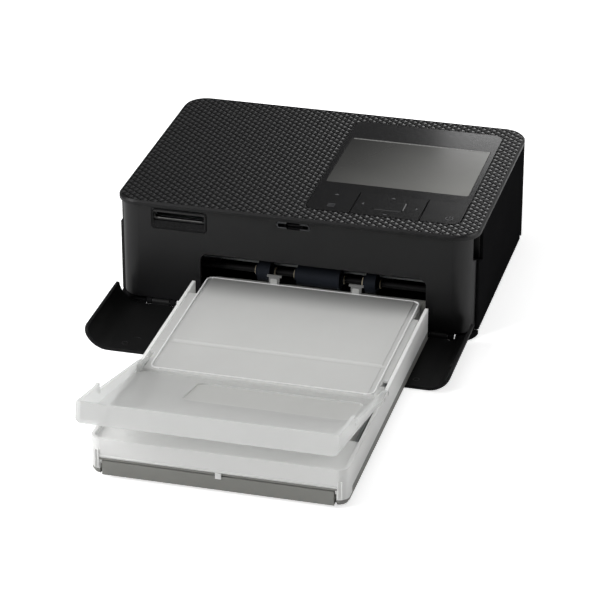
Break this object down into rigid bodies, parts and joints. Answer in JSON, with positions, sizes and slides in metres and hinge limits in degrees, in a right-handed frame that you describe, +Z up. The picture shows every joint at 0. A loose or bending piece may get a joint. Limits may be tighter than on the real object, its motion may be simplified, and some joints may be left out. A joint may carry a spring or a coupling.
{
  "type": "compact photo printer",
  "caption": "Low photo printer with a hinged front flap, a drawn-out paper cassette with two lids, a tilting key row under a flush screen, and a side door over its ribbon cassette.",
  "frame": {"origin": "on the table under the middle of the footprint, with the paper cassette fitted", "axes": "+X to the printer's right as seen from the front, +Y from the paper cassette towards the rear cover, +Z up"},
  "size_m": [0.1822, 0.3166, 0.0576],
  "materials": {
    "housing_black": "moulded, fine satin grain",
    "panel_gloss": "polished",
    "screen_glass": "polished clear window over a dark screen",
    "plated_steel": "zinc plated sheet and bright drawn shaft",
    "circuit_board": "solder mask",
    "foot_rubber": "matt",
    "inner_black": "moulded",
    "motor_can": "dark plated can",
    "cream_plastic": "natural acetal",
    "ink_plastic": "moulded",
    "dye_film": "thin dyed film",
    "roller_rubber": "ground",
    "brass": "machined",
    "head_ceramic": "glazed ceramic on a carrier",
    "bare_aluminium": "extruded",
    "tray_grey": "moulded, fine satin grain",
    "milky_plastic": "milky translucent moulding",
    "photo_paper": "coated sheet"
  },
  "bodies": {
    "housing": {"top_cover": "housing_black", "control_panel": "panel_gloss", "screen_window": "screen_glass", "lcd_module": "plated_steel", "panel_board": "circuit_board", "front_panel": "housing_black", "left_cover": "housing_black", "rear_cover": "housing_black", "base_plate": "housing_black", "rubber_feet": "foot_rubber", "bay_frame": "inner_black", "card_slot_bezel": "panel_gloss", "card_reader": "plated_steel", "usb_port": "inner_black", "port_board": "circuit_board", "dc_jack": "inner_black", "main_board": "circuit_board", "chassis_left": "plated_steel", "chassis_right": "plated_steel", "guide_plate": "plated_steel", "head_beam": "plated_steel", "drive_motor": "motor_can", "motor_bracket": "plated_steel", "roller_bushes": "cream_plastic", "flap_pins": "plated_steel", "door_pin": "plated_steel", "base_screws": "plated_steel"},
    "flap": {"front_flap": "housing_black"},
    "menu_key": {"menu_rocker": "panel_gloss"},
    "pad_key": {"nav_pad": "panel_gloss"},
    "centre_key": {"ok_button": "panel_gloss"},
    "power_button": {"power_key": "panel_gloss"},
    "door": {"ink_door": "housing_black"},
    "ink_cassette": {"ink_shell": "ink_plastic", "ink_ribbon": "dye_film"},
    "supply": {"supply_spool": "cream_plastic"},
    "takeup": {"takeup_spool": "cream_plastic"},
    "lever": {"eject_lever": "cream_plastic"},
    "pickup": {"pickup_shaft": "inner_black", "pickup_rollers": "roller_rubber"},
    "feed": {"feed_roller": "plated_steel", "feed_gear": "cream_plastic"},
    "pinch": {"pinch_roller": "roller_rubber"},
    "platen": {"platen_shaft": "plated_steel", "platen_roller": "roller_rubber", "platen_gear": "cream_plastic"},
    "transfer": {"transfer_gear": "cream_plastic"},
    "motor_shaft": {"motor_pinion": "brass"},
    "head": {"thermal_head": "head_ceramic", "head_heatsink": "bare_aluminium"},
    "tray": {"tray_base": "tray_grey", "tray_frame": "milky_plastic"},
    "lift": {"lift_plate": "plated_steel", "paper_stack": "photo_paper"},
    "cover": {"inner_cover": "milky_plastic"},
    "lid": {"outer_lid": "milky_plastic"}
  },
  "joints": [
    {"name": "flap_hinge", "type": "hinge", "parent": "housing", "child": "flap", "pos_m": [0, 0.02741, 0.0021], "axis": [-1, 0, 0], "range_deg": [0, 90]},
    {"name": "menu_rock", "type": "hinge", "parent": "housing", "child": "menu_key", "pos_m": [0.01365, 0.05081, 0.0552], "axis": [1, 0, 0], "range_deg": [-1.3, 1.3], "stiffness_Nm_per_rad": 0.2},
    {"name": "pad_rock", "type": "hinge", "parent": "housing", "child": "pad_key", "pos_m": [0.0424, 0.05081, 0.0552], "axis": [0, 1, 0], "range_deg": [-1.1, 1.1], "stiffness_Nm_per_rad": 0.2},
    {"name": "centre_press", "type": "slide", "parent": "housing", "child": "centre_key", "axis": [0, 0, -1], "range_m": [0, 0.0004], "stiffness_N_per_m": 1500},
    {"name": "power_press", "type": "slide", "parent": "housing", "child": "power_button", "axis": [0, 0, -1], "range_m": [0, 0.0004], "stiffness_N_per_m": 1500},
    {"name": "door_hinge", "type": "hinge", "parent": "housing", "child": "door", "pos_m": [0.08955, 0.14451, 0.0286], "axis": [0, 0, 1], "range_deg": [0, 95]},
    {"name": "ink_slide", "type": "slide", "parent": "housing", "child": "ink_cassette", "axis": [1, 0, 0], "range_m": [0, 0.05]},
    {"name": "supply_spin", "type": "hinge", "parent": "ink_cassette", "child": "supply", "pos_m": [0.019, 0.06531, 0.037], "axis": [1, 0, 0], "continuous": true},
    {"name": "takeup_spin", "type": "hinge", "parent": "ink_cassette", "child": "takeup", "pos_m": [0.019, 0.10931, 0.037], "axis": [1, 0, 0], "continuous": true},
    {"name": "lever_turn", "type": "hinge", "parent": "housing", "child": "lever", "pos_m": [0.0872, 0.12791, 0.034], "axis": [1, 0, 0], "range_deg": [0, 12], "stiffness_Nm_per_rad": 0.004},
    {"name": "pickup_spin", "type": "hinge", "parent": "housing", "child": "pickup", "pos_m": [0.012, 0.03881, 0.0205], "axis": [1, 0, 0], "continuous": true},
    {"name": "feed_spin", "type": "hinge", "parent": "housing", "child": "feed", "pos_m": [0.012, 0.12531, 0.01915], "axis": [1, 0, 0], "continuous": true},
    {"name": "pinch_spin", "type": "hinge", "parent": "housing", "child": "pinch", "pos_m": [0.012, 0.12531, 0.02725], "axis": [1, 0, 0], "continuous": true},
    {"name": "platen_spin", "type": "hinge", "parent": "housing", "child": "platen", "pos_m": [0.012, 0.08731, 0.017], "axis": [1, 0, 0], "continuous": true},
    {"name": "transfer_spin", "type": "hinge", "parent": "housing", "child": "transfer", "pos_m": [-0.0565, 0.10612, 0.02128], "axis": [1, 0, 0], "continuous": true},
    {"name": "motor_spin", "type": "hinge", "parent": "housing", "child": "motor_shaft", "pos_m": [-0.058, 0.10612, 0.03338], "axis": [1, 0, 0], "continuous": true},
    {"name": "head_lift", "type": "hinge", "parent": "housing", "child": "head", "pos_m": [0.013, 0.09761, 0.03055], "axis": [-1, 0, 0], "range_deg": [0, 6]},
    {"name": "tray_slide", "type": "slide", "parent": "housing", "child": "tray", "axis": [0, -0.9511, 0.309], "range_m": [0, 0.27]},
    {"name": "paper_lift", "type": "hinge", "parent": "tray", "child": "lift", "pos_m": [0.01075, -0.11039, 0.0063], "axis": [1, 0, 0], "range_deg": [0, 1.3]},
    {"name": "cover_hinge", "type": "hinge", "parent": "tray", "child": "cover", "pos_m": [0.01075, -0.07089, 0.0181], "axis": [1, 0, 0], "range_deg": [0, 48]},
    {"name": "lid_hinge", "type": "hinge", "parent": "tray", "child": "lid", "pos_m": [0.01075, -0.06369, 0.0176], "axis": [-1, 0, 0], "range_deg": [0, 62]}
  ],
  "couplings": [
    {"joint": "flap_hinge", "follows": "tray_slide", "rad_per_m": 5.8173},
    {"joint": "door_hinge", "follows": "ink_slide", "rad_per_m": 33.161},
    {"joint": "takeup_spin", "follows": "supply_spin", "ratio": 1},
    {"joint": "pinch_spin", "follows": "feed_spin", "ratio": -1},
    {"joint": "platen_spin", "follows": "feed_spin", "ratio": 1},
    {"joint": "transfer_spin", "follows": "feed_spin", "ratio": -1.2857},
    {"joint": "motor_spin", "follows": "feed_spin", "ratio": 3}
  ]
}
